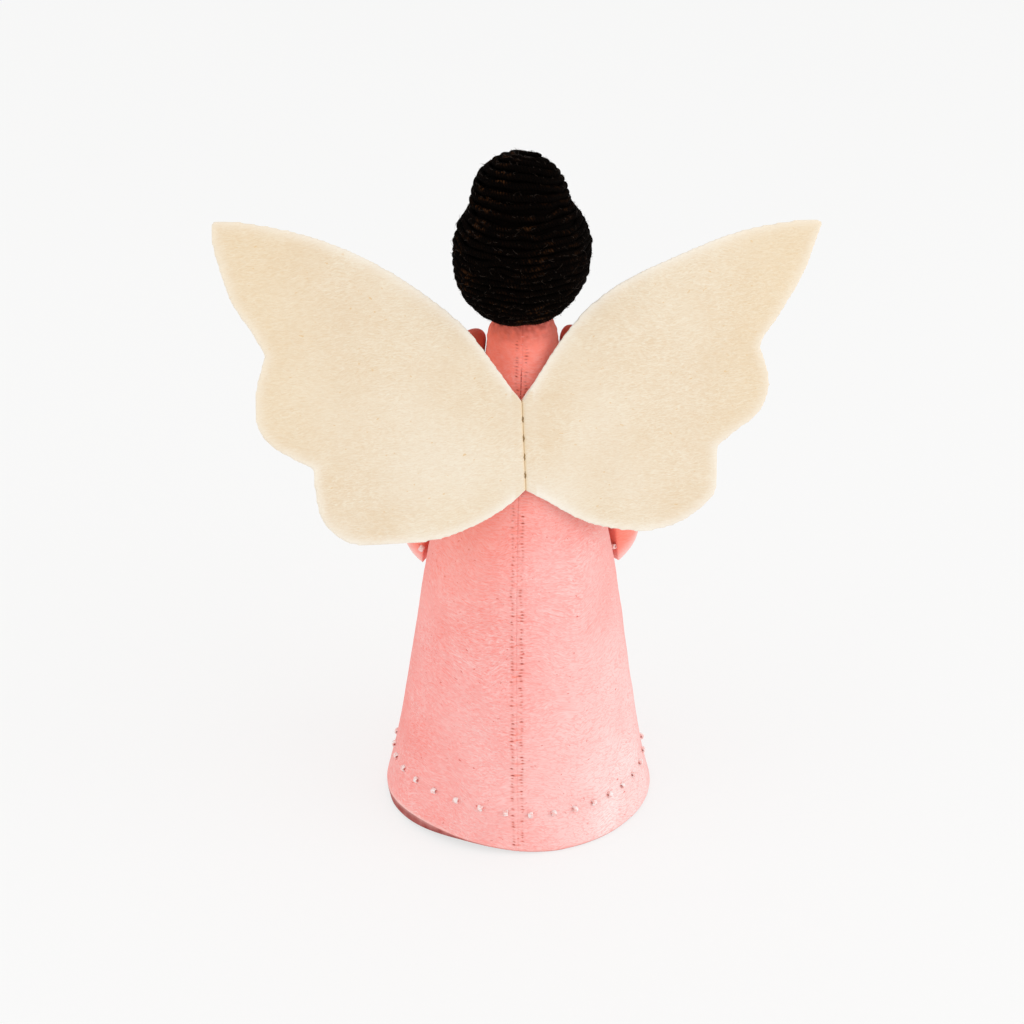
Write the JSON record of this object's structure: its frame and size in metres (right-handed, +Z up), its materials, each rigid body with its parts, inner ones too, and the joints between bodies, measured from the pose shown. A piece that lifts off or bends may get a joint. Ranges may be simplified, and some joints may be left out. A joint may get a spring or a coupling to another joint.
{
  "type": "christmas tree topper",
  "caption": "Felt angel with a hollow cone dress that slips over a tree's tip, a wound-yarn bun, two flat wings that fold back and sleeved arms that lift.",
  "frame": {"origin": "middle of the hem circle, on the surface it stands on", "axes": "+Z up through the bun, the face looks along -Y, +X is the angel's own left"},
  "size_m": [0.1807, 0.0882, 0.2192],
  "materials": {
    "pink_felt": "thick wool felt, matt",
    "cream_felt": "thick wool felt, matt",
    "dark_yarn": "plied wool yarn, matt",
    "skin_wool": "felted wool, matt",
    "pink_thread": "sewing thread, slight sheen",
    "golden_thread": "sewing thread, slight sheen",
    "clear_bead": "clear glass seed bead, gloss",
    "black_bead": "black glass bead, gloss",
    "red_thread": "sewing thread, slight sheen"
  },
  "bodies": {
    "body": {"dress_cone": "pink_felt", "back_seam_thread": "pink_thread", "hem_bead_01": "clear_bead", "hem_bead_02": "clear_bead", "hem_bead_03": "clear_bead", "hem_bead_04": "clear_bead", "hem_bead_05": "clear_bead", "hem_bead_06": "clear_bead", "hem_bead_07": "clear_bead", "hem_bead_08": "clear_bead", "hem_bead_09": "clear_bead", "hem_bead_10": "clear_bead", "hem_bead_11": "clear_bead", "hem_bead_12": "clear_bead", "hem_bead_13": "clear_bead", "hem_bead_14": "clear_bead", "hem_bead_15": "clear_bead", "hem_bead_16": "clear_bead", "hem_bead_17": "clear_bead", "hem_bead_18": "clear_bead", "hem_bead_19": "clear_bead", "hem_bead_20": "clear_bead", "hem_bead_21": "clear_bead", "hem_bead_22": "clear_bead", "hem_bead_23": "clear_bead", "hem_bead_24": "clear_bead", "hem_bead_25": "clear_bead", "hem_bead_26": "clear_bead", "hem_bead_27": "clear_bead", "hem_bead_28": "clear_bead", "hem_bead_29": "clear_bead", "hem_bead_30": "clear_bead", "hem_bead_31": "clear_bead", "hem_bead_32": "clear_bead", "hem_bead_33": "clear_bead", "wing_seam_thread": "golden_thread", "head_ball": "skin_wool", "hair_winding": "dark_yarn", "bun_core": "dark_yarn", "bun_winding": "dark_yarn", "eye_left": "black_bead", "eye_right": "black_bead", "mouth_stitch": "red_thread"},
    "left_wing": {"wing_left": "cream_felt"},
    "right_wing": {"wing_right": "cream_felt"},
    "left_arm": {"sleeve_left": "pink_felt", "arm_left": "skin_wool", "cuff_beads_left": "clear_bead"},
    "right_arm": {"sleeve_right": "pink_felt", "arm_right": "skin_wool", "cuff_beads_right": "clear_bead"}
  },
  "joints": [
    {"name": "left_wing_fold", "type": "hinge", "parent": "body", "child": "left_wing", "pos_m": [-0.0007, 0.02429, 0.12036], "axis": [0, -0.2646, 0.9644], "range_deg": [0, 50], "stiffness_Nm_per_rad": 0.01},
    {"name": "right_wing_fold", "type": "hinge", "parent": "body", "child": "right_wing", "pos_m": [-0.0007, 0.02429, 0.12036], "axis": [0, 0.2646, -0.9644], "range_deg": [0, 50], "stiffness_Nm_per_rad": 0.01},
    {"name": "left_arm_lift", "type": "hinge", "parent": "body", "child": "left_arm", "pos_m": [0.0154, -0.0022, 0.157], "axis": [-1, 0, 0], "range_deg": [0, 60]},
    {"name": "right_arm_lift", "type": "hinge", "parent": "body", "child": "right_arm", "pos_m": [-0.0154, -0.0022, 0.157], "axis": [-1, 0, 0], "range_deg": [0, 60]}
  ]
}
